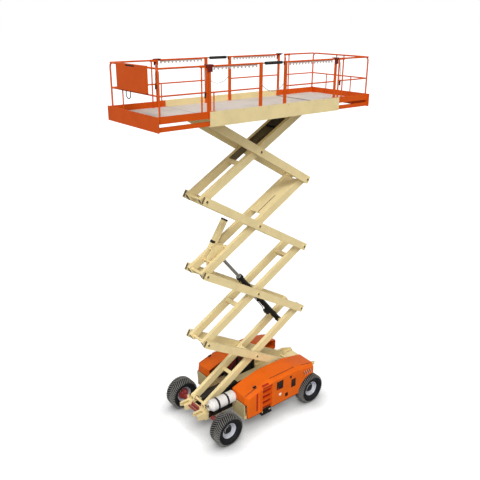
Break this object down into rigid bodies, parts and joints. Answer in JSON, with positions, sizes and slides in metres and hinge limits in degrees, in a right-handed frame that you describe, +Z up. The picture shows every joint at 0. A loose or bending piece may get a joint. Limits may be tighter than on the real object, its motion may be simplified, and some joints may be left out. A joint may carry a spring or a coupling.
{
  "type": "scissor lift",
  "caption": "Rough-terrain scissor lift raised on four levels of crossed arms, with a railed platform that has a roll-out deck at each end.",
  "frame": {"origin": "on the ground, midway between the axles and the wheels", "axes": "+X towards the steered end, +Y to the machine's left, +Z up"},
  "size_m": [6.274, 2.412, 9.415],
  "materials": {
    "frame_grey": "satin paint",
    "axle_red": "satin paint",
    "engine_dark": "cast",
    "tank_white": "satin paint",
    "hood_orange": "moulded, slightly glossy",
    "steel": "plated",
    "cylinder_black": "gloss paint",
    "chrome_rod": "polished",
    "arm_beige": "satin paint",
    "rail_orange": "satin paint",
    "deck_orange": "satin paint",
    "pad_black": "foam sleeve",
    "tyre_rubber": "worn rubber",
    "rim_grey": "satin paint"
  },
  "bodies": {
    "chassis": {"chassis_frame": "arm_beige", "hood_posts": "frame_grey", "roller_track_left": "arm_beige", "roller_track_right": "arm_beige", "side_tray_left": "arm_beige", "side_tray_right": "arm_beige", "front_axle": "axle_red", "rear_axle": "axle_red", "engine_block": "engine_dark", "engine_cover": "axle_red", "gas_tank": "tank_white", "tank_cradle": "frame_grey"},
    "hood_left": {"hood_left": "hood_orange"},
    "hood_right": {"hood_right": "hood_orange"},
    "knuckle_left": {"knuckle_left": "axle_red"},
    "knuckle_right": {"knuckle_right": "axle_red"},
    "tie_rod": {"tie_rod": "steel"},
    "wheel_front_left": {"tyre_front_left": "tyre_rubber", "rim_front_left": "rim_grey"},
    "wheel_front_right": {"tyre_front_right": "tyre_rubber", "rim_front_right": "rim_grey"},
    "wheel_rear_left": {"tyre_rear_left": "tyre_rubber", "rim_rear_left": "rim_grey"},
    "wheel_rear_right": {"tyre_rear_right": "tyre_rubber", "rim_rear_right": "rim_grey"},
    "inner_1": {"inner_arms_1": "arm_beige"},
    "outer_1": {"outer_arms_1": "arm_beige"},
    "inner_2": {"inner_arms_2": "arm_beige"},
    "outer_2": {"outer_arms_2": "arm_beige"},
    "inner_3": {"inner_arms_3": "arm_beige"},
    "outer_3": {"outer_arms_3": "arm_beige"},
    "inner_4": {"inner_arms_4": "arm_beige", "arm_junction_box": "cylinder_black"},
    "outer_4": {"outer_arms_4": "arm_beige"},
    "lift_barrel": {"lift_barrel": "cylinder_black"},
    "lift_rod": {"lift_rod": "chrome_rod"},
    "lift_lever": {"lift_lever": "arm_beige"},
    "platform": {"main_deck": "arm_beige", "main_rails_left": "rail_orange", "main_rails_right": "rail_orange", "entry_chain_left": "steel", "entry_chain_right": "steel"},
    "entry_bar_left": {"entry_bar_left": "pad_black"},
    "entry_bar_right": {"entry_bar_right": "pad_black"},
    "front_deck": {"front_deck": "deck_orange", "front_rails": "rail_orange", "control_box": "rail_orange"},
    "rear_deck": {"rear_deck": "deck_orange", "rear_rails": "rail_orange"}
  },
  "joints": [
    {"name": "lift", "type": "hinge", "parent": "chassis", "child": "inner_1", "pos_m": [1.569, 0, 0.751], "axis": [0, 1, 0], "range_deg": [-26.5, 19.5]},
    {"name": "centre_pin_1", "type": "hinge", "parent": "inner_1", "child": "outer_1", "pos_m": [-0.0483, 0, 1.68475], "axis": [0, 1, 0], "range_deg": [-39, 53]},
    {"name": "rear_pin_1", "type": "hinge", "parent": "inner_1", "child": "outer_2", "pos_m": [-1.6656, 0, 2.6185], "axis": [0, 1, 0], "range_deg": [-39, 53]},
    {"name": "centre_pin_2", "type": "hinge", "parent": "outer_2", "child": "inner_2", "pos_m": [-0.0483, 0, 3.55225], "axis": [0, 1, 0], "range_deg": [-53, 39]},
    {"name": "rear_pin_2", "type": "hinge", "parent": "inner_2", "child": "outer_3", "pos_m": [-1.6656, 0, 4.486], "axis": [0, 1, 0], "range_deg": [-39, 53]},
    {"name": "centre_pin_3", "type": "hinge", "parent": "outer_3", "child": "inner_3", "pos_m": [-0.0483, 0, 5.41975], "axis": [0, 1, 0], "range_deg": [-53, 39]},
    {"name": "rear_pin_3", "type": "hinge", "parent": "inner_3", "child": "outer_4", "pos_m": [-1.6656, 0, 6.3535], "axis": [0, 1, 0], "range_deg": [-39, 53]},
    {"name": "centre_pin_4", "type": "hinge", "parent": "outer_4", "child": "inner_4", "pos_m": [-0.0483, 0, 7.28725], "axis": [0, 1, 0], "range_deg": [-53, 39]},
    {"name": "platform_pin", "type": "hinge", "parent": "outer_4", "child": "platform", "pos_m": [1.569, 0, 8.221], "axis": [0, 1, 0], "range_deg": [-26.5, 19.5]},
    {"name": "barrel_pin", "type": "hinge", "parent": "inner_1", "child": "lift_barrel", "pos_m": [-1.14166, 0.035, 2.316], "axis": [0, 1, 0], "range_deg": [-45, 61]},
    {"name": "rod_slide", "type": "slide", "parent": "lift_barrel", "child": "lift_rod", "axis": [0.6457, 0, 0.7636], "range_m": [-0.85, 0.63]},
    {"name": "lever_pin", "type": "hinge", "parent": "inner_3", "child": "lift_lever", "pos_m": [1.22259, -0.121, 4.686], "axis": [0, 1, 0], "range_deg": [-26.5, 19.5]},
    {"name": "front_deck_slide", "type": "slide", "parent": "platform", "child": "front_deck", "axis": [1, 0, 0], "range_m": [-1.2, 0]},
    {"name": "rear_deck_slide", "type": "slide", "parent": "platform", "child": "rear_deck", "axis": [-1, 0, 0], "range_m": [-0.86, 0]},
    {"name": "entry_bar_left_hinge", "type": "hinge", "parent": "platform", "child": "entry_bar_left", "pos_m": [-0.1615, 0.995, 9.3], "axis": [0, 0, -1], "range_deg": [0, 90]},
    {"name": "entry_bar_right_hinge", "type": "hinge", "parent": "platform", "child": "entry_bar_right", "pos_m": [-0.1615, -0.995, 9.3], "axis": [0, 0, 1], "range_deg": [0, 90]},
    {"name": "hood_left_hinge", "type": "hinge", "parent": "chassis", "child": "hood_left", "pos_m": [-0.45, 0.507, 1.336], "axis": [1, 0, 0], "range_deg": [0, 65]},
    {"name": "hood_right_hinge", "type": "hinge", "parent": "chassis", "child": "hood_right", "pos_m": [-0.45, -0.507, 1.336], "axis": [-1, 0, 0], "range_deg": [0, 65]},
    {"name": "steer_left", "type": "hinge", "parent": "chassis", "child": "knuckle_left", "pos_m": [1.475, 0.88, 0.424], "axis": [0, 0, 1], "range_deg": [-28, 28]},
    {"name": "steer_right", "type": "hinge", "parent": "chassis", "child": "knuckle_right", "pos_m": [1.475, -0.88, 0.424], "axis": [0, 0, 1], "range_deg": [-28, 28]},
    {"name": "tie_rod_slide", "type": "slide", "parent": "chassis", "child": "tie_rod", "axis": [0, 1, 0], "range_m": [-0.07, 0.07]},
    {"name": "wheel_front_left_spin", "type": "hinge", "parent": "knuckle_left", "child": "wheel_front_left", "pos_m": [1.475, 1.013, 0.424], "axis": [0, 1, 0], "continuous": true},
    {"name": "wheel_front_right_spin", "type": "hinge", "parent": "knuckle_right", "child": "wheel_front_right", "pos_m": [1.475, -1.013, 0.424], "axis": [0, 1, 0], "continuous": true},
    {"name": "wheel_rear_left_spin", "type": "hinge", "parent": "chassis", "child": "wheel_rear_left", "pos_m": [-1.475, 1.013, 0.424], "axis": [0, 1, 0], "continuous": true},
    {"name": "wheel_rear_right_spin", "type": "hinge", "parent": "chassis", "child": "wheel_rear_right", "pos_m": [-1.475, -1.013, 0.424], "axis": [0, 1, 0], "continuous": true}
  ],
  "couplings": [
    {"joint": "centre_pin_1", "follows": "lift", "ratio": -2},
    {"joint": "rear_pin_1", "follows": "lift", "ratio": -2},
    {"joint": "centre_pin_2", "follows": "lift", "ratio": 2},
    {"joint": "rear_pin_2", "follows": "lift", "ratio": -2},
    {"joint": "centre_pin_3", "follows": "lift", "ratio": 2},
    {"joint": "rear_pin_3", "follows": "lift", "ratio": -2},
    {"joint": "centre_pin_4", "follows": "lift", "ratio": 2},
    {"joint": "platform_pin", "follows": "lift", "ratio": 1},
    {"joint": "barrel_pin", "follows": "lift", "ratio": -2.3},
    {"joint": "rod_slide", "follows": "lift", "m_per_rad": 1.83},
    {"joint": "lever_pin", "follows": "lift", "ratio": 1},
    {"joint": "steer_right", "follows": "steer_left", "ratio": 1},
    {"joint": "tie_rod_slide", "follows": "steer_left", "m_per_rad": -0.14}
  ]
}
